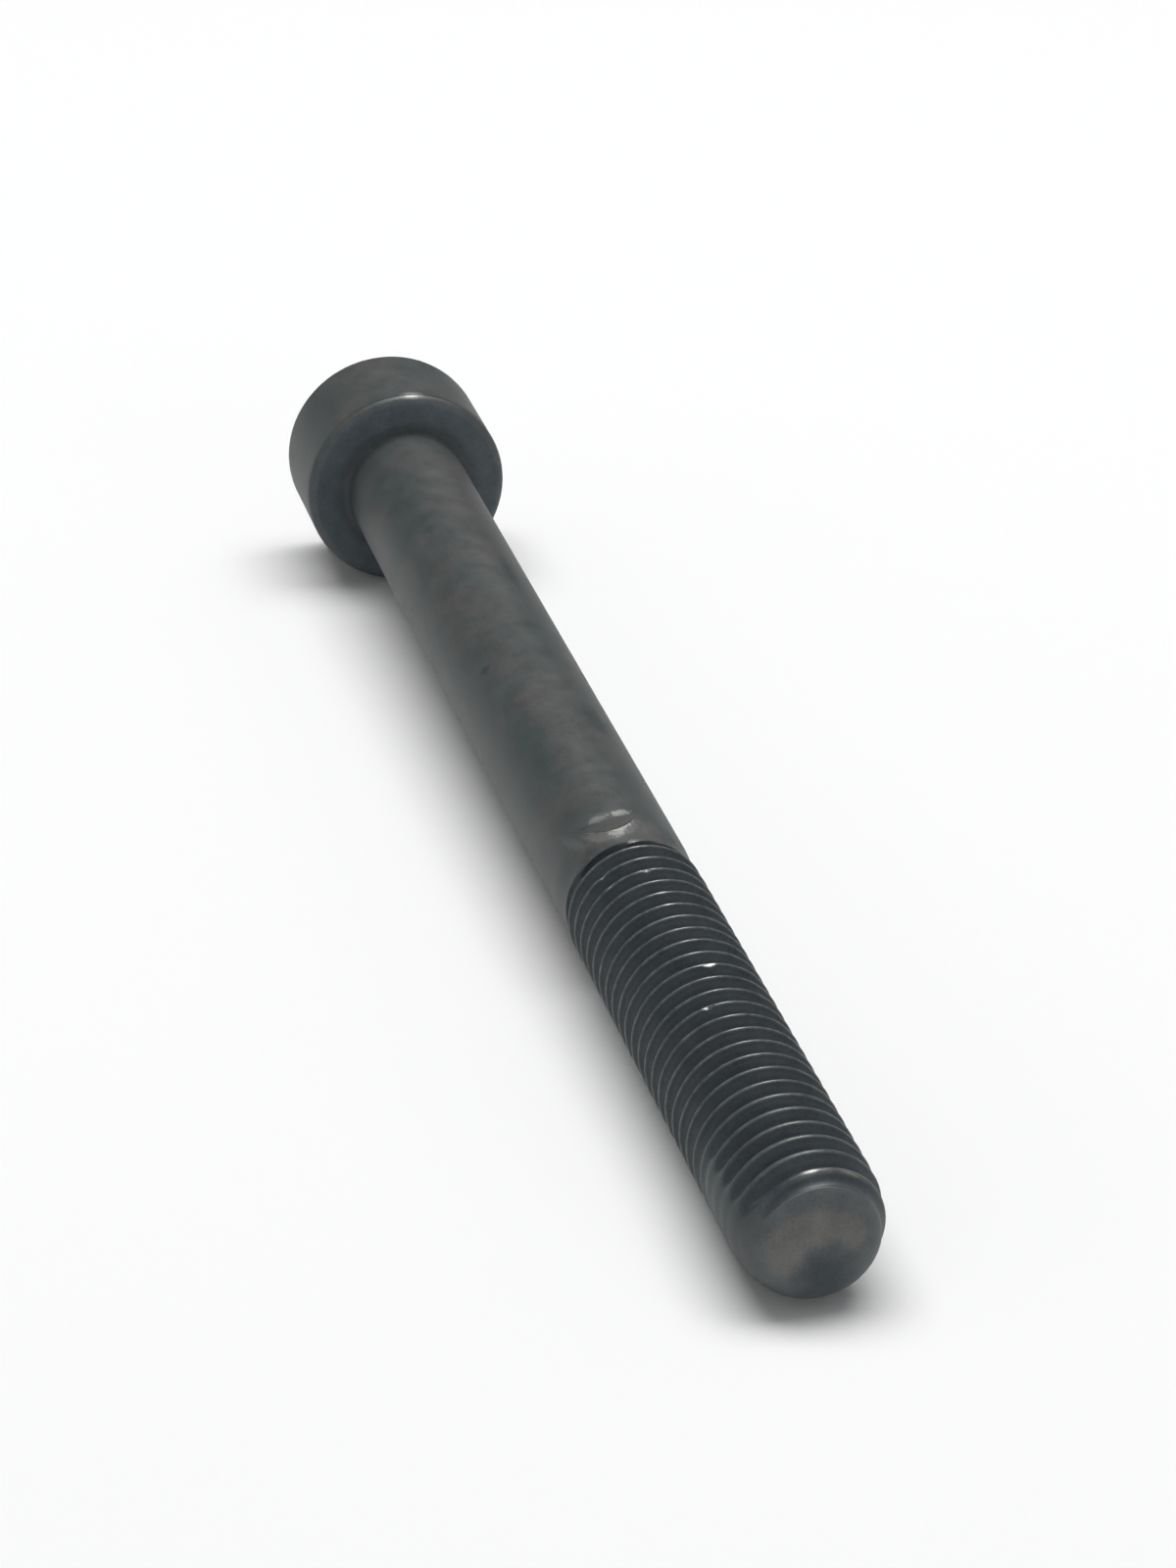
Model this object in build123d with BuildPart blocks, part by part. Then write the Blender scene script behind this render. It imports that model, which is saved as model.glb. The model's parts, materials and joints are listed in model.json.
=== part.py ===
from build123d import *
from math import atan2, cos, radians, sin, tan
import os

# Socket head cap screw: M6 with the coarse 1 mm pitch, 70 mm long under the head.
# The real one is a single piece of steel: a cold-forged blank with a hexagon socket punched
# into its head, then a thread rolled onto its shank. The thread cylinder here is as large as
# the crests of that thread.
# The screw lies on a surface and touches it with the rim of its head and with the last crests
# beside the point, so its axis slopes down from the head to the point, which looks along +X.

# Driving dimensions, in millimetres
length = 70.0  # from the bearing face to the end of the point
head_diameter = 9.85
head_height = 6.0
top_rounding = 0.75  # between the side of the head and the end with the socket
rim_rounding = 0.4  # between the side of the head and the bearing face
underhead_fillet = 0.4
shank_diameter = 5.9
thread_diameter = 5.98  # rolling raises the crests a little above the shank
thread_length = 26.0  # from the first groove to the end of the point
runout_length = 0.5  # the cone that leads from the shank up to the first crest
point_length = 3.0  # the rounded part of the point
point_flat_diameter = 3.4
hex_across_flats = 5.0
socket_depth = 3.1
mouth_diameter = 6.05  # the lead-in reaches just past the corners of the hexagon
mouth_slope = 30.0  # degrees between the lead-in and the end of the head
punch_cone_diameter = 4.7
punch_cone_depth = 0.4

head_radius = head_diameter / 2
shank_radius = shank_diameter / 2
thread_radius = thread_diameter / 2
flat_radius = point_flat_diameter / 2
thread_start = length - thread_length
point_start = length - point_length

# The screw as it lies: the slope of its axis and the place of the middle of the bearing face,
# with the origin on the surface, under the middle of the whole screw
slope = atan2(head_radius - thread_radius, point_start + rim_rounding)
socket_end_reach = (
    (head_height - top_rounding) * cos(slope) + (head_radius - top_rounding) * sin(slope) + top_rounding
)
point_end_reach = length * cos(slope) + flat_radius * sin(slope)
bearing_centre = Vector(
    (socket_end_reach - point_end_reach) / 2,
    0,
    head_radius * cos(slope) - rim_rounding * sin(slope),
)
along = Vector(cos(slope), 0, -sin(slope))  # from the head to the point
screw_axis = Axis(bearing_centre, along)

# The half section has its X along the axis, from the bearing face to the point, and its Y outwards
half_section = Plane(bearing_centre, x_dir=along, z_dir=(0, -1, 0))
socket_end = Plane(bearing_centre - along * head_height, x_dir=(0, 1, 0), z_dir=along)

with BuildPart() as screw:
    # Blank: head, shank, thread cylinder and rounded point, turned about the axis
    with BuildSketch(half_section):
        with BuildLine():
            Polyline(
                (length, 0),
                (-head_height, 0),
                (-head_height, head_radius),
                (0, head_radius),
                (0, shank_radius),
                (thread_start, shank_radius),
                (thread_start + runout_length, thread_radius),
                (point_start, thread_radius),
            )
            EllipticalCenterArc(
                (point_start, flat_radius),
                x_radius=point_length,
                y_radius=thread_radius - flat_radius,
            )
            Line((length, flat_radius), (length, 0))
        make_face()
    revolve(axis=screw_axis)

    # Rounded edges of the head, and the fillet that carries it into the shank
    rings = screw.edges().filter_by(GeomType.CIRCLE).group_by(screw_axis)
    top_edge = rings[0]
    fillet_edge, rim_edge = rings[1].sort_by(SortBy.RADIUS)
    fillet(top_edge, top_rounding)
    fillet(rim_edge, rim_rounding)
    fillet(fillet_edge, underhead_fillet)

    # Hexagon socket, punched from the end of the head
    with BuildSketch(socket_end):
        RegularPolygon(radius=hex_across_flats / 2, side_count=6, major_radius=False)
    extrude(amount=socket_depth, mode=Mode.SUBTRACT)

    # Round lead-in at the socket's mouth, and the shallow cone that the punch leaves in its bottom
    with BuildSketch(half_section):
        mouth_radius = mouth_diameter / 2
        mouth_x = -head_height
        with BuildLine():
            Polyline(
                (mouth_x, 0),
                (mouth_x, mouth_radius),
                (mouth_x + mouth_radius * tan(radians(mouth_slope)), 0),
                close=True,
            )
        make_face()
        bottom_x = -head_height + socket_depth
        with BuildLine():
            Polyline(
                (bottom_x, 0),
                (bottom_x, punch_cone_diameter / 2),
                (bottom_x + punch_cone_depth, 0),
                close=True,
            )
        make_face()
    revolve(axis=screw_axis, mode=Mode.SUBTRACT)

screw.part.label = "screw"
os.makedirs("parts", exist_ok=True)
export_step(screw.part, "parts/screw.step")
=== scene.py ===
# A black-oxide socket head cap screw that lies on a pale floor, point towards the camera.
import json
from math import cos, hypot, pi, radians, sin, tan

import bpy
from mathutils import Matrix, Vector


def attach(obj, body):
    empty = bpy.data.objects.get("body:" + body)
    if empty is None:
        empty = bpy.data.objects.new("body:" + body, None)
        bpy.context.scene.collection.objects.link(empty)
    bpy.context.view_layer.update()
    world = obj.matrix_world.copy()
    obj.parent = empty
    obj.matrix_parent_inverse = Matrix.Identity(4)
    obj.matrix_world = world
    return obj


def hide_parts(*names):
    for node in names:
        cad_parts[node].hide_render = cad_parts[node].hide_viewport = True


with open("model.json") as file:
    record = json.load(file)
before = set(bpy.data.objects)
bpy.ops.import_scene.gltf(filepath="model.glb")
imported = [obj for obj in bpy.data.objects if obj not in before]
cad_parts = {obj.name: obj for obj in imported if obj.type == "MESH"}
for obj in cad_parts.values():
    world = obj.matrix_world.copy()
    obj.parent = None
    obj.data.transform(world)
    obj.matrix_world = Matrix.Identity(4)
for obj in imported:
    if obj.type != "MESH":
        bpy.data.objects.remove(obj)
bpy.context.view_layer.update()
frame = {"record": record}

# ---- How the screw lies ----
# The screw is a single piece of steel. It rests on the rim of its head and on the last crests of
# its thread, so its axis, which every section below measures along, slopes down to the point.
MM = 0.001
mounts = {mount["name"]: mount for mount in frame["record"]["mounts"]}
head_height = 6.0
along = -Vector(mounts["socket"]["axis"]).normalized()
sideways = Vector((0.0, -1.0, 0.0))
upwards = sideways.cross(along)
bearing_centre = Vector(mounts["socket"]["pos_m"]) + along * head_height * MM


def place(station, angle, out):
    """A point of the screw: station along its axis from the bearing face, angle from the top to -Y."""
    across = upwards * cos(radians(angle)) + sideways * sin(radians(angle))
    return bearing_centre + (along * station + across * out) * MM


# The whole surface is one net of rows round the axis. Every row has the same columns, and the
# first of them runs along the underside.
COLUMNS = 144
angles = [-180.0 + 360.0 * column / COLUMNS for column in range(COLUMNS)]
rows = []  # each row is a list of (station, out, rubbed, sunk) at the angles above


def ring(station, out, rubbed=0.0):
    """One round row of the net."""
    rows.append([(station, out, rubbed, 0.0) for _ in angles])


def smooth_step(low, high, value):
    """0 up to the low value, 1 from the high one, and smooth between them."""
    t = min(max((value - low) / (high - low), 0.0), 1.0)
    return t * t * (3.0 - 2.0 * t)


def quarter_round(centre_station, centre_out, radius, start, end, steps, rubbed=0.0):
    """Rows round a rounded edge, from one direction to another; 0 degrees looks to the point."""
    for step in range(steps + 1):
        turn = radians(start + (end - start) * step / steps)
        worn = rubbed * sin(pi * step / steps)
        ring(centre_station + radius * cos(turn), centre_out + radius * sin(turn), worn)


# ---- Hexagon socket ----
# Punched into the end of the head for a 5 mm key, with a round lead-in at its mouth and the
# shallow cone of the punch in its bottom. The hexagon's corners lie on columns of the net.
socket_depth = 3.1
hex_half_width = 2.5
mouth_radius = 3.025
mouth_slope = radians(30)
cone_radius = 2.35
cone_depth = 0.4


def hexagon(angle):
    """Distance from the axis to the socket's wall."""
    from_flat = (angle % 60.0) - 30.0
    return hex_half_width / cos(radians(from_flat))


for part_way in (0.05, 0.35, 0.7, 1.0):
    ring(-head_height + socket_depth + cone_depth * (1 - part_way), cone_radius * part_way)
for height in (0.0, 0.04, 0.5, 0.97, 1.0):
    row = []
    for angle in angles:
        wall = hexagon(angle)
        wall_top = (mouth_radius - wall) * tan(mouth_slope)
        depth = socket_depth + (wall_top - socket_depth) * height
        row.append((-head_height + depth, wall, 0.25 * (height > 0.9), 0.0))
    rows.append(row)
ring(-head_height + 0.02, mouth_radius - 0.03, 0.6)
ring(-head_height, mouth_radius + 0.03, 0.6)

# ---- Head ----
# Cold-forged and smooth, with a well rounded socket end, a short round edge at the rim and a
# flat bearing face that a small fillet carries into the shank.
head_radius = 4.925
top_rounding = 0.75
rim_rounding = 0.4
underhead_fillet = 0.4
shank_radius = mounts["shank"]["dims"]["r_mm"]

ring(-head_height, mouth_radius + 0.25)
ring(-head_height, head_radius - top_rounding - 0.3)
quarter_round(-head_height + top_rounding, head_radius - top_rounding, top_rounding, 180, 90, 10, 0.3)
for station in (-4.6, -3.6, -2.6, -1.6, -0.8, -0.35):
    ring(station, head_radius)
quarter_round(-rim_rounding, head_radius - rim_rounding, rim_rounding, 90, 0, 6)
for out in (4.5, 4.1, 3.7, 3.4):
    ring(0.0, out)
quarter_round(underhead_fillet, shank_radius + underhead_fillet, underhead_fillet, 180, 270, 6)

# ---- Shank ----
# The plain part of the blank. Just behind the thread it tapers a little to the diameter that the
# thread was rolled from, and something hard has scraped a lens-shaped facet into it on top.
pitch = 1.0
thread_radius = mounts["thread"]["dims"]["r_mm"]
first_crest = 43.88  # where the first full crest passes the top of the screw
thread_top = first_crest - 1.5 * pitch  # the round row that the rows of the thread open from
groove_start = 43.1
taper_start = 41.5
taper_depth = 0.085  # of the shank's radius, where the groove starts
scrape_angle = 11.0
scrape_half_width = 22.0  # degrees
scrape_depth = 0.09
scrape_start = 40.45
step_station = 42.02  # the scrape's front edge on its middle, and how far its ends curve back
step_bend = 0.65
plain_row_gap = 1.05
fine_row_gap = 0.06  # over the scrape and the taper


def scrape(station, angle):
    """Depth of the lens-shaped facet: it slopes in from behind and ends in a sharp curved step."""
    way_round = (angle - scrape_angle) / scrape_half_width
    if abs(way_round) > 1.0:
        return 0.0
    back_edge = scrape_start + 0.06 * sin(radians(17 * angle))
    front_edge = step_station - step_bend * way_round ** 2
    sloped_in = smooth_step(back_edge, back_edge + 0.5, station)
    stepped_out = smooth_step(front_edge - 0.04, front_edge + 0.06, station)
    return scrape_depth * (1.0 - way_round ** 2) * sloped_in * (1.0 - stepped_out)


def land(station):
    """Radius of the blank's surface between and before the grooves of the thread."""
    taper = taper_depth * smooth_step(taper_start, groove_start, station)
    full_rise = thread_radius - shank_radius + taper_depth
    rise = full_rise * smooth_step(groove_start, groove_start + 0.8, station)
    return shank_radius - taper + rise


for step in range(37):
    ring(0.7 + plain_row_gap * step, shank_radius)
for step in range(53, 0, -1):
    station = thread_top - fine_row_gap * step
    row = []
    for angle in angles:
        row.append((station, land(station) - scrape(station, angle), 0.0, 0.0))
    rows.append(row)

# ---- Rolled thread and point ----
# Rolled, right-hand, 1 mm pitch: the groove starts shallow behind the first crest, and gets
# shallow again on the rounded point until that is thinner than its root. On the -Y side of the
# point it is hardly formed. The rows of the net follow the helix.
thread_depth = 0.613
root_rounding = 0.16
flank = tan(radians(60))
length = 70.0
point_length = 3.0
point_station = length - point_length
# the powers of the rounded outline of the point, along the axis and across it
power_along = 2.2
power_across = 5
# the rounded crest, the flanks and the rounded root, as parts of a pitch
profile_steps = (0.0, 0.03, 0.06, 0.09, 0.125, 0.25, 0.37, 0.42, 0.46,
                 0.54, 0.58, 0.63, 0.75, 0.875, 0.91, 0.94, 0.97)
# dents in the crests: station, angle, half length, half width in degrees, depth
nicks = (
    (44.95, 37.5, 0.10, 3.0, 0.16),
    (45.93, 3.5, 0.09, 3.0, 0.07),
    (45.97, 36.0, 0.08, 2.5, 0.06),
    (53.90, -3.0, 0.10, 5.0, 0.05),
    (56.95, 14.0, 0.08, 3.0, 0.08),
)


def soft_floor(value, rounding):
    """The value where it is above zero, rounded where it passes zero."""
    if abs(value) < rounding:
        return (value + rounding) ** 2 / (4 * rounding)
    return max(value, 0.0)


def point_radius(station):
    """The rounded point, which the crests end in."""
    way = min(max((station - point_station) / point_length, 0.0), 1.0)
    return thread_radius * (1.0 - way ** power_along) ** (1 / power_across)


def point_reach(out):
    """The station that the rounded point reaches at a distance from the axis."""
    way = (1.0 - (out / thread_radius) ** power_across) ** (1 / power_along)
    return point_station + point_length * way


def formed(station, angle):
    """How far the groove is rolled in at a place, 0 to 1."""
    from_first = (station - first_crest) / pitch - angle / 360.0
    groove_station = station - ((from_first % 1.0) - 0.5) * pitch
    started = smooth_step(groove_start, groove_start + 0.32, groove_station)
    started *= smooth_step(groove_start + 0.1, groove_start + 0.32, station)
    on_point = soft_floor(1.0 - (thread_radius - point_radius(station)) / thread_depth, 0.3)
    flat_side = smooth_step(42, 74, angle) * (1.0 - smooth_step(135, 160, angle))
    flattened = 0.97 * flat_side * smooth_step(point_station - 7.0, point_station - 1.0, station)
    return started * on_point * (1.0 - flattened)


def thread_surface(station, angle):
    """Radius of the thread at a place, how much its crest is rubbed, and the groove's depth."""
    crest_half_width = 0.07 + 0.05 * smooth_step(point_station - 6.0, point_station, station)
    from_first = (station - first_crest) / pitch - angle / 360.0
    from_crest = (from_first + 0.5) % 1.0 - 0.5
    cut = soft_floor((abs(from_crest) * pitch - crest_half_width) * flank, crest_half_width * flank)
    cut = thread_depth - soft_floor(thread_depth - cut, root_rounding)
    rolled = formed(station, angle)
    rubbed = rolled * (1.0 - smooth_step(0.0, 0.08, cut)) * (from_first > -0.4)
    rubbed *= 1.0 - 0.5 * smooth_step(point_station - 7.0, point_station - 1.0, station)
    out = min(land(station), point_radius(station)) - rolled * cut
    for nick_station, nick_angle, nick_length, nick_width, nick_depth in nicks:
        far = hypot((station - nick_station) / nick_length, (angle - nick_angle) / nick_width)
        out -= nick_depth * (1.0 - smooth_step(0.2, 1.4, far))
    return out, rubbed, rolled * cut


# The rows follow the helix. At each end a fan of rows, one for each step of the profile, leads from
# a round row into it.
per_turn = len(profile_steps)
whole_turns = 27
thread_end = thread_top + whole_turns * pitch
first_helix_row = len(rows)
end_rings = 20


def thread_row(station_at):
    """One row of the threaded part, from a function of the way round it, 0 to 1."""
    row = []
    for angle in angles:
        station = station_at((angle + 180.0) / 360.0)
        row.append((station, *thread_surface(station, angle)))
    rows.append(row)


for share in profile_steps:
    thread_row(lambda round_it: thread_top + share * pitch * round_it)
for turn in range(whole_turns - 1):
    for share in profile_steps:
        thread_row(lambda round_it: thread_top + (turn + share + round_it) * pitch)
for share in profile_steps:
    thread_row(lambda round_it: thread_end - (1.0 - share) * (1.0 - round_it) * pitch)
last_helix_row = len(rows)
end_radius = point_radius(thread_end)
for step in range(1, end_rings):
    out = end_radius * (1 - step / end_rings)
    ring(point_reach(out), out)

# ---- One closed skin ----
# The rows above are joined into the single closed surface of the screw. A row of the thread ends
# one pitch farther on than it began, so its last column joins the first of the row a turn later.
vertices = []
wrap = []  # station, distance from the axis, rubbed and sunk of each vertex, for the finish
index = {}  # the vertex at each row and column
for number, row in enumerate(rows):
    # the rows of the first fan all begin in one vertex
    opening = first_helix_row < number <= first_helix_row + per_turn
    for column, values in enumerate(row):
        if opening and column == 0:
            index[number, 0] = index[first_helix_row, 0]
            continue
        index[number, column] = len(vertices)
        vertices.append(place(values[0], angles[column], values[1]))
        wrap.append(values)


def corner(number, column):
    """The vertex at a row and a column, and the angle it is seen at."""
    if column < COLUMNS:
        return index[number, column], angles[column]
    if first_helix_row <= number < last_helix_row:
        number = min(number + per_turn, last_helix_row)
    return index[number, 0], 180.0


def centre_vertex(station):
    """A vertex on the axis."""
    vertices.append(place(station, 0.0, 0.0))
    wrap.append((station, 0.0, 0.0, 0.0))
    return len(vertices) - 1


faces = []
face_angles = []


def add_face(corners):
    """One face, without the corners that fall together."""
    kept = []
    for vertex, angle in corners:
        if vertex not in [other for other, _ in kept]:
            kept.append((vertex, angle))
    if len(kept) > 2:
        faces.append([vertex for vertex, _ in kept])
        face_angles.extend(angle for _, angle in kept)


socket_bottom = centre_vertex(-head_height + socket_depth + cone_depth)
point_end = centre_vertex(length)
last = len(rows) - 1
for column in range(COLUMNS):
    add_face([(socket_bottom, angles[column]), corner(0, column), corner(0, column + 1)])
    for number in range(last):
        add_face([
            corner(number, column),
            corner(number + 1, column),
            corner(number + 1, column + 1),
            corner(number, column + 1),
        ])
    add_face([(point_end, angles[column]), corner(last, column + 1), corner(last, column)])

screw_mesh = bpy.data.meshes.new("cap_screw")
screw_mesh.from_pydata(vertices, [], faces)
screw = bpy.data.objects.new("cap_screw", screw_mesh)
bpy.context.scene.collection.objects.link(screw)
screw_mesh.shade_smooth()
screw_mesh.set_sharp_from_angle(angle=radians(32))
wrapped = screw_mesh.attributes.new("wrap", "FLOAT_VECTOR", "CORNER")
corner_values = []
for loop, angle in zip(screw_mesh.loops, face_angles):
    corner_values.extend((angle, *wrap[loop.vertex_index][:2]))
wrapped.data.foreach_set("vector", corner_values)
for position, name in ((2, "rubbed"), (3, "sunk")):
    attribute = screw_mesh.attributes.new(name, "FLOAT", "POINT")
    attribute.data.foreach_set("value", [values[position] for values in wrap])

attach(screw, "root")
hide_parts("screw")

# ---- Black-oxide finish ----
# A thin dark conversion coat, matt, fine-grained and cloudy. It is worn to bare steel along the crests
# and in the scrape, and a few stains and dark spots are left from handling. Some of its colours are
# painted light: painted shade under the head, below the crests, at the scrape's step and where the
# taper meets the first groove, bluish painted light in the grooves, on the bearing face and on the
# end of the point, and painted highlights on the rim, on some crests and on the last ridge.
steel = bpy.data.materials.new("black_oxide_steel")
steel.use_nodes = True


def node(tree, kind, inputs=None, **settings):
    """Adds a shader node; each input is a plain value or the socket that feeds it."""
    made = tree.nodes.new("ShaderNode" + kind)
    for name, value in settings.items():
        setattr(made, name, value)
    for socket, value in (inputs or {}).items():
        if isinstance(value, bpy.types.NodeSocket):
            tree.links.new(value, made.inputs[socket])
        else:
            made.inputs[socket].default_value = value
    return made


def soft_mark_group():
    """One mark: a soft, ragged ellipsoid round a centre in any coordinates."""
    group = bpy.data.node_groups.new("soft_mark", "ShaderNodeTree")
    for name, kind in (("Place", "Vector"), ("Centre", "Vector"), ("Size", "Vector"),
                       ("Edge", "Float"), ("Ragged", "Float"), ("Wobble", "Float")):
        group.interface.new_socket(name, in_out="INPUT", socket_type="NodeSocket" + kind)
    group.interface.new_socket("Mask", in_out="OUTPUT", socket_type="NodeSocketFloat")
    given = group.nodes.new("NodeGroupInput").outputs
    offset = node(group, "VectorMath", {0: given["Place"], 1: given["Centre"]}, operation="SUBTRACT")
    scaled = node(group, "VectorMath", {0: offset.outputs[0], 1: given["Size"]}, operation="DIVIDE")
    far = node(group, "VectorMath", {0: scaled.outputs[0]}, operation="LENGTH")
    centred = node(group, "Math", {0: given["Wobble"], 1: 0.5}, operation="SUBTRACT")
    ragged = node(group, "Math", {0: centred.outputs[0], 1: given["Ragged"], 2: far.outputs["Value"]},
                  operation="MULTIPLY_ADD")
    inner = node(group, "Math", {0: 1.0, 1: given["Edge"]}, operation="SUBTRACT")
    mask = node(group, "MapRange", {"Value": ragged.outputs[0], "From Min": 1.0,
                                    "From Max": inner.outputs[0]}, interpolation_type="SMOOTHSTEP")
    out = group.nodes.new("NodeGroupOutput")
    group.links.new(mask.outputs["Result"], out.inputs["Mask"])
    return group


tree = steel.node_tree
shader = tree.nodes["Principled BSDF"]
soft_mark = soft_mark_group()
surface = node(tree, "TexCoord").outputs["Object"]
millimetres = node(tree, "VectorMath", {0: surface, "Scale": 1.0 / MM}, operation="SCALE").outputs[0]
wrap_place = node(tree, "Attribute", attribute_name="wrap").outputs["Vector"]
angle_seen, station_seen, out_seen = node(tree, "SeparateXYZ", {0: wrap_place}).outputs
rubbed_crests = node(tree, "Attribute", attribute_name="rubbed").outputs["Fac"]
sunk = node(tree, "Attribute", attribute_name="sunk").outputs["Fac"]


def noise(scale, detail=2.0, roughness=0.5, distortion=0.0):
    """Noise with a number of waves to the millimetre."""
    made = node(tree, "TexNoise", {"Vector": millimetres, "Scale": scale, "Detail": detail,
                                   "Roughness": roughness, "Distortion": distortion})
    return made.outputs["Fac"]


def calculate(operation, first, second=0.0, third=0.0):
    return node(tree, "Math", {0: first, 1: second, 2: third}, operation=operation).outputs[0]


def ramp(value, low, high, from_value=0.0, to_value=1.0):
    made = node(tree, "MapRange", {"Value": value, "From Min": low, "From Max": high,
                                   "To Min": from_value, "To Max": to_value})
    return made.outputs["Result"]


def window(value, start, full, fading, gone):
    """A mask that comes in along a value, stays, and goes out again."""
    return calculate("MULTIPLY", ramp(value, start, full), ramp(value, gone, fading))


def mix(amount, below, above, blend_type="MIX"):
    made = node(tree, "Mix", {0: amount, 6: below, 7: above}, data_type="RGBA", blend_type=blend_type)
    return made.outputs[2]


# how the edges of large marks and of small ones wander, and a size that reaches through the screw
wobble = noise(1.6, 3.0, 0.6)
fine_wobble = noise(6.0, 2.0)
THROUGH = 1000.0


def marks(places, wobble_source, coordinates=wrap_place):
    """The union of several marks: (centre, size, edge, ragged, strength) each.

    Centres and sizes are angle and station, and the distance from the axis where it matters.
    """
    total = None
    for centre, size, edge, ragged, strength in places:
        mark = node(tree, "Group")
        mark.node_tree = soft_mark
        tree.links.new(coordinates, mark.inputs["Place"])
        tree.links.new(wobble_source, mark.inputs["Wobble"])
        mark.inputs["Centre"].default_value = (*centre, 0.0)[:3]
        mark.inputs["Size"].default_value = (*size, THROUGH)[:3]
        mark.inputs["Edge"].default_value = edge
        mark.inputs["Ragged"].default_value = ragged
        amount = calculate("MULTIPLY", mark.outputs["Mask"], strength)
        total = amount if total is None else calculate("MAXIMUM", total, amount)
    return total


# clouds of greener coat on the head and the shank
green_patches = marks((
    ((37, 6.0), (26, 6.0), 0.9, 0.9, 1.0),
    ((38, 33.0), (21, 6.5), 0.8, 0.9, 1.0),
    ((70, 20.0), (16, 9.0), 0.8, 0.9, 0.5),
    ((52, -3.0), (28, 3.4), 0.9, 0.9, 0.6),
), wobble)
# smudges and small pits on the shank, painted shade where the taper meets the first groove, pits in
# the last crests, and a dark patch on the point
dark_patches = marks((
    ((-27, 16.0), (10, 3.0), 0.9, 0.8, 0.7),
    ((-28, 31.5), (18, 2.0), 0.9, 0.8, 0.9),
    ((-15, 22.3), (16, 0.9), 0.9, 0.6, 0.6),
    ((42, 25.0), (8, 0.45), 0.8, 0.8, 1.0),
    ((12, 25.2), (6, 0.4), 0.9, 0.8, 0.7),
    ((7, 40.75), (1.2, 0.22), 0.6, 0.8, 1.0),
    # painted shade: the shadow where the taper meets the first groove, on the +Y side
    ((-41, 42.4), (5, 0.45), 0.7, 0.8, 1.0),
    ((32, 41.05), (5, 0.20), 0.8, 0.8, 0.7),
    ((84, 63.3), (6, 0.7), 0.5, 1.6, 1.0),
    ((84, 64.8), (6, 0.35), 0.5, 1.6, 1.0),
    ((31, 68.9), (22, 0.85), 0.6, 0.8, 1.2),
), wobble)
# where the coat is thinner and paler, and a painted highlight on the last ridge
light_patches = marks((
    ((-8, 28.0), (9, 1.3), 0.9, 0.8, 0.8),
    ((5, 36.0), (9, 2.8), 0.9, 0.8, 0.7),
    # partly a painted highlight: the lighter patch on the +Y side of the last ridge
    ((-32, 68.8), (18, 0.9), 0.8, 0.6, 1.5),
    ((-5, 18.0), (14, 7.0), 0.9, 0.8, 0.5),
    ((0, 5.5), (16, 2.5), 0.9, 0.8, 0.5),
    ((-22, 42.0), (13, 0.9), 0.7, 0.8, 0.9),
    ((27, 42.35), (14, 0.5), 0.5, 0.8, 1.0),
    ((48, 42.2), (14, 0.8), 0.6, 0.8, 0.8),
), wobble)
# bluish stains on both sides of the last crests
stains = marks((
    ((-42, 64.4), (9, 0.8), 0.6, 1.2, 0.9),
    ((90, 64.2), (9, 0.9), 0.6, 1.2, 0.9),
    ((88, 61.8), (7, 0.5), 0.6, 1.2, 0.7),
), fine_wobble)
# marks along the scrape's curved step go by angle and by how far past the step they are
way_round = calculate("DIVIDE", calculate("SUBTRACT", angle_seen, scrape_angle), scrape_half_width)
bend = calculate("MULTIPLY", calculate("MULTIPLY", way_round, way_round), step_bend)
past_step = calculate("ADD", calculate("SUBTRACT", station_seen, step_station), bend)
step_place = node(tree, "CombineXYZ", {"X": angle_seen, "Y": past_step}).outputs[0]
# painted shade: a dark line along the foot of the scrape's step, where the step's shadow falls
step_line = marks((
    ((3, -0.06), (14, 0.10), 0.7, 0.6, 1.0),
    ((18, -0.06), (12, 0.08), 0.8, 0.6, 0.8),
), fine_wobble, step_place)
step_wear = calculate("MULTIPLY", ramp(past_step, -0.02, 0.03), marks((
    ((8, 0.22), (11, 0.52), 0.6, 1.3, 0.42),
    ((5, 0.08), (14, 0.28), 0.6, 1.2, 0.65),
    ((10, 0.35), (28, 0.60), 0.7, 0.9, 0.10),
    ((27, 0.45), (12, 0.45), 0.5, 0.9, 0.09),
    ((46, 1.0), (12, 0.8), 0.7, 0.9, 0.05),
    ((28, 0.0), (7, 0.08), 0.8, 0.6, 0.25),
), fine_wobble, step_place))
# bare steel behind the scrape, on dented and rubbed crests, on the rim and on the last crest; the
# spots on the rim, on some crest tops and on the last ridge sit where the lamp's highlight falls,
# so their pale steel colour is partly a painted highlight
bare_and_highlight_marks = marks((
    ((18, 40.80), (11, 0.27), 0.5, 1.5, 0.15),
    ((-2, 40.78), (9, 0.25), 0.4, 1.3, 0.24),
    ((37.5, 44.95), (4, 0.16), 0.6, 0.5, 0.6),
    ((36, 45.95), (4, 0.10), 0.7, 0.5, 0.4),
    # partly painted highlights: the next spots lie where the lamp's highlight falls on crests, rim and
    # last ridge
    ((3, 47.86), (8, 0.11), 0.8, 0.6, 0.35),
    ((2, 48.86), (8, 0.11), 0.8, 0.6, 0.25),
    ((-3, 53.9), (7, 0.12), 0.6, 0.5, 0.6),
    ((-4, -0.35, 4.9), (9, 0.45, 0.3), 0.9, 0.6, 0.35),
    ((5, 68.86), (9, 0.14), 0.7, 0.5, 0.42),
    ((-28, 68.86), (12, 0.10), 0.9, 0.8, 0.12),
), fine_wobble)
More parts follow.
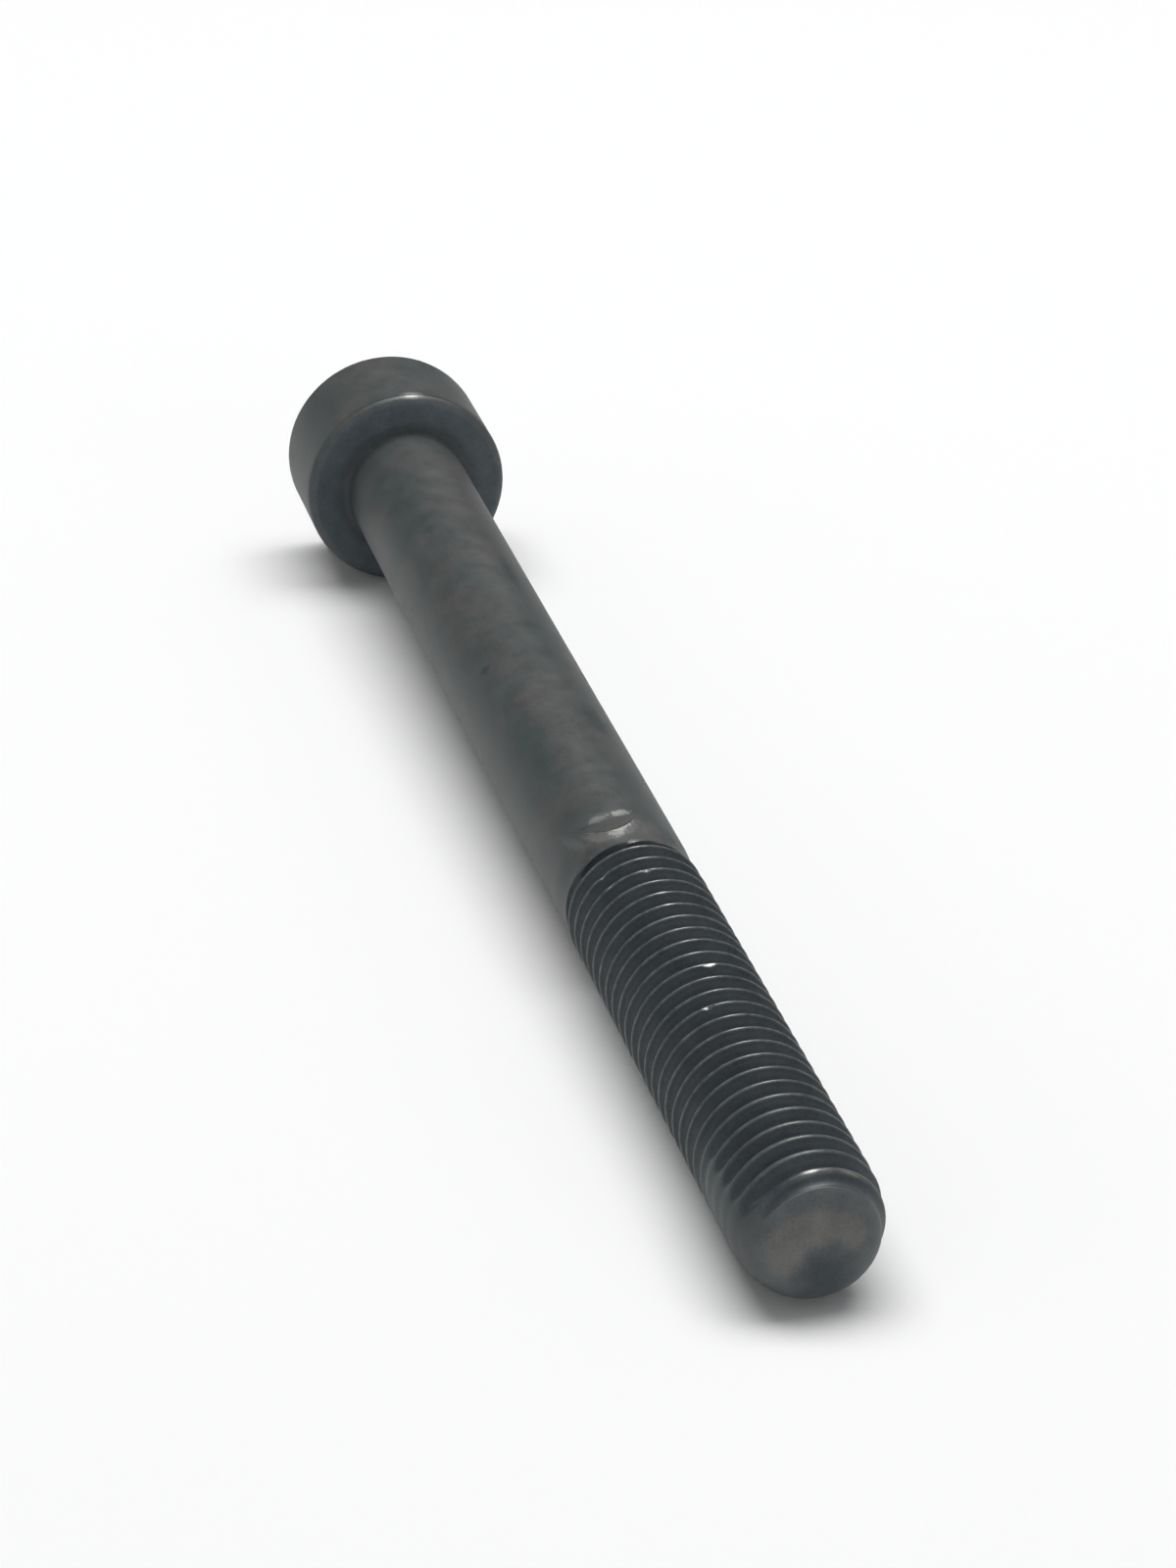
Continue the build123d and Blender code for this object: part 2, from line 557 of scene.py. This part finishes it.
# marks on the end of the point go by their place in millimetres
pale_end = marks((
    ((37.9, -0.3, 3.8), (1.3, 1.9, 1.0), 0.5, 0.4, 1.0),
    ((37.9, -1.4, 3.0), (1.3, 0.95, 1.5), 0.5, 0.4, 1.0),
    ((37.9, 1.1, 3.4), (1.3, 0.7, 0.9), 0.5, 0.4, 0.9),
), wobble, millimetres)
dark_end = marks((
    ((38.0, 0.15, 1.8), (1.4, 1.7, 1.5), 0.8, 0.5, 0.95),
    ((38.0, 0.45, 2.8), (1.4, 1.1, 0.9), 0.95, 0.4, 0.4),
), wobble, millimetres)

# masks that follow the shape; the last one makes the -Y side of the last turns darker and greener
threaded = ramp(station_seen, 43.0, 45.0)
groove = ramp(sunk, 0.02, 0.12)
# painted shade: a dark band on the flanks just below each crest
groove_edge = window(sunk, 0.02, 0.06, 0.08, 0.22)
# painted light: a paler bluish colour on the end of the point stands in for light from the floor and
# the front
point_face = ramp(station_seen, length - 1.0, length - 0.4)
# painted light: a lighter slate colour on the bearing face stands in for the white floor reflected in
# it
bearing_face = calculate("MULTIPLY", ramp(station_seen, -0.12, -0.02), ramp(out_seen, 3.2, 3.5))
from_bearing = calculate("ABSOLUTE", station_seen)
# painted shade: the corner under the head, where the head keeps light off the shank, is darkened; this
# mask also makes it rougher
underhead = calculate("MULTIPLY", ramp(out_seen, 3.75, 3.2), ramp(from_bearing, 3.2, 0.4))
point_side_darkening = calculate("MULTIPLY", window(station_seen, 61.0, 65.0, 68.0, 69.0),
                 window(angle_seen, 40.0, 65.0, 120.0, 160.0))

cloud = ramp(noise(0.3, 5.0, 0.65, 0.4), 0.36, 0.64)
mottle = ramp(noise(0.9, 4.0, 0.6), 0.3, 0.7)
grain = noise(9.0, 2.0, 0.6)

# the coat's colours, and those of the steel under it
warm_oxide = (0.070, 0.067, 0.068, 1)
cool_oxide = (0.049, 0.061, 0.060, 1)
green_oxide = (0.041, 0.057, 0.055, 1)
dark_oxide = (0.025, 0.035, 0.040, 1)
# painted light: the bluish tint in the grooves stands in for cool light falling on the flanks
groove_cool_light_colour = (0.053, 0.064, 0.071, 1)
bearing_lit_colour = (0.072, 0.092, 0.104, 1)
point_side_colour = (0.024, 0.036, 0.037, 1)
thread_oxide = (0.048, 0.056, 0.056, 1)
end_lit_colour = (0.100, 0.109, 0.116, 1)
# painted shade: the colour of the darkened corner under the head, the bands below the crests and the
# line at the scrape's step
painted_shade_colour = (0.022, 0.029, 0.036, 1)
end_oxide = (0.122, 0.119, 0.111, 1)
pale_oxide = (0.085, 0.085, 0.080, 1)
stain_blue = (0.012, 0.060, 0.085, 1)
crest_steel = (0.46, 0.55, 0.53, 1)
bare_steel_and_highlight = (0.62, 0.61, 0.57, 1)

# from the lowest layer to the top one: mask, strength, colour
layers = (
    (threaded, 0.6, thread_oxide),
    (green_patches, 0.8, green_oxide),
    (light_patches, 0.6, pale_oxide),
    (dark_patches, 0.8, dark_oxide),
    (step_line, 0.9, painted_shade_colour),
    (point_face, 0.6, end_lit_colour),
    (pale_end, 0.9, end_oxide),
    (dark_end, 0.9, dark_oxide),
    (stains, 0.85, stain_blue),
    (groove, 0.8, groove_cool_light_colour),
    (bearing_face, 0.8, bearing_lit_colour),
    (underhead, 0.4, painted_shade_colour),
    (groove_edge, 0.6, painted_shade_colour),
    (point_side_darkening, 0.8, point_side_colour),
)
oxide = mix(cloud, cool_oxide, warm_oxide)
for mask, strength, colour in layers:
    oxide = mix(calculate("MULTIPLY", mask, strength), oxide, colour)
shade = calculate("ADD", ramp(mottle, 0.0, 1.0, 0.84, 1.16), ramp(grain, 0.3, 0.7, -0.12, 0.12))
shaded = mix(1.0, oxide, shade, "MULTIPLY")

worn_crests = calculate("MULTIPLY", rubbed_crests, ramp(noise(3.0, 3.0, 0.6), 0.4, 0.65, 0.0, 0.12))
bare_and_highlight_patches = calculate("MAXIMUM", bare_and_highlight_marks, step_wear)
bare = calculate("MAXIMUM", worn_crests, bare_and_highlight_patches)
crested = mix(worn_crests, shaded, crest_steel)
tree.links.new(mix(bare_and_highlight_patches, crested, bare_steel_and_highlight), shader.inputs["Base Color"])
tree.links.new(calculate("MULTIPLY", bare, 0.6), shader.inputs["Metallic"])
shader.inputs["Specular IOR Level"].default_value = 0.33

# rougher in the corner under the head, and smoother where it is rubbed, bare, painted with a highlight
# or rolled
polished = calculate("MAXIMUM", calculate("MAXIMUM", rubbed_crests, bare_and_highlight_patches), groove)
polished = calculate("MULTIPLY", polished, ramp(station_seen, length - 0.7, length - 0.9))
roughness = calculate("ADD", ramp(mottle, 0.0, 1.0, 0.47, 0.55), ramp(grain, 0.3, 0.7, -0.05, 0.05))
roughness = calculate("MULTIPLY_ADD", underhead, 0.12, roughness)
tree.links.new(calculate("MULTIPLY_ADD", polished, -0.17, roughness), shader.inputs["Roughness"])
height = calculate("ADD", grain, mottle)
bump = node(tree, "Bump", {"Height": height, "Strength": 0.25, "Distance": 0.01 * MM})
tree.links.new(bump.outputs["Normal"], shader.inputs["Normal"])
screw_mesh.materials.append(steel)

# ---- Floor and light ----
# White paper under a large soft box that stays out of reflections, a small lamp that only makes
# the highlights, and weak fills low down on the -Y side and in front. The ends of the room are
# dimmer than its sides, and the camera sees it white.
floor_mesh = bpy.data.meshes.new("floor")
floor_mesh.from_pydata([(-3, -3, 0), (3, -3, 0), (3, 3, 0), (-3, 3, 0)], [], [(0, 1, 2, 3)])
floor = bpy.data.objects.new("floor", floor_mesh)
bpy.context.scene.collection.objects.link(floor)
paper = bpy.data.materials.new("white_paper")
paper.use_nodes = True
paper_tree = paper.node_tree
paper_shader = paper_tree.nodes["Principled BSDF"]
paper_shader.inputs["Base Color"].default_value = (0.9, 0.9, 0.9, 1)
paper_shader.inputs["Roughness"].default_value = 0.95
paper_shader.inputs["Specular IOR Level"].default_value = 0.0
floor_mesh.materials.append(paper)

world = bpy.data.worlds.new("studio")
world.use_nodes = True
sky = world.node_tree
background = sky.nodes["Background"]
along_x = node(sky, "SeparateXYZ", {0: node(sky, "TexCoord").outputs["Generated"]}).outputs["X"]
towards_end = node(sky, "Math", {0: along_x}, operation="ABSOLUTE").outputs[0]
end_wall = node(sky, "MapRange", {"Value": towards_end, "From Min": 0.0, "From Max": 0.95},
                interpolation_type="SMOOTHSTEP").outputs["Result"]
side_grey = (0.30, 0.30, 0.30, 1)
end_grey = (0.13, 0.135, 0.14, 1)
seen_white = (0.95, 0.95, 0.95, 1)
wall = node(sky, "Mix", {0: end_wall, 6: side_grey, 7: end_grey}, data_type="RGBA").outputs[2]
camera_ray = node(sky, "LightPath").outputs["Is Camera Ray"]
sky_colour = node(sky, "Mix", {0: camera_ray, 6: wall, 7: seen_white}, data_type="RGBA").outputs[2]
sky.links.new(sky_colour, background.inputs["Color"])
bpy.context.scene.world = world
bpy.context.scene.view_settings.view_transform = "Standard"


def softbox(name, location, size, size_y, power, colour=(1.0, 1.0, 1.0)):
    """A soft rectangular light that looks at the screw; overhead, its size lies along Y."""
    light = bpy.data.lights.new(name, "AREA")
    light.shape = "RECTANGLE"
    light.size = size
    light.size_y = size_y
    light.energy = power
    light.color = colour
    lamp = bpy.data.objects.new(name, light)
    lamp.location = location
    lamp.rotation_euler = (-Vector(location)).to_track_quat("-Z", "Y").to_euler()
    lamp.visible_camera = False
    bpy.context.scene.collection.objects.link(lamp)
    return lamp


highlight_lamp = softbox("highlight_lamp", (-0.14, 0.14, 0.64), 0.13, 0.13, 6.0, (1.0, 1.0, 0.97))
highlight_lamp.visible_diffuse = False
overhead_box = softbox("overhead_box", (-0.12, 0.04, 0.7), 0.8, 0.35, 5.2)
overhead_box.visible_glossy = False
softbox("left_fill", (0.3, -0.5, 0.08), 0.8, 0.4, 0.45)
softbox("front_fill", (0.7, 0.2, 0.10), 0.6, 0.4, 1.0)

# ---- Camera ----
# Close in front of the point and above it, a little to its -Y side.
camera_data = bpy.data.cameras.new("camera")
camera_data.lens = 104.6
camera_data.clip_start = 0.01
camera = bpy.data.objects.new("camera", camera_data)
aim = Vector((-0.00014, 0.00102, 0.0036))
distance = 0.1985
elevation = radians(25.97)
azimuth = radians(14.46)
direction = Vector((cos(elevation) * cos(azimuth), -cos(elevation) * sin(azimuth), sin(elevation)))
camera.location = aim + direction * distance
camera.rotation_euler = direction.to_track_quat("Z", "Y").to_euler()
bpy.context.scene.collection.objects.link(camera)
bpy.context.scene.camera = camera
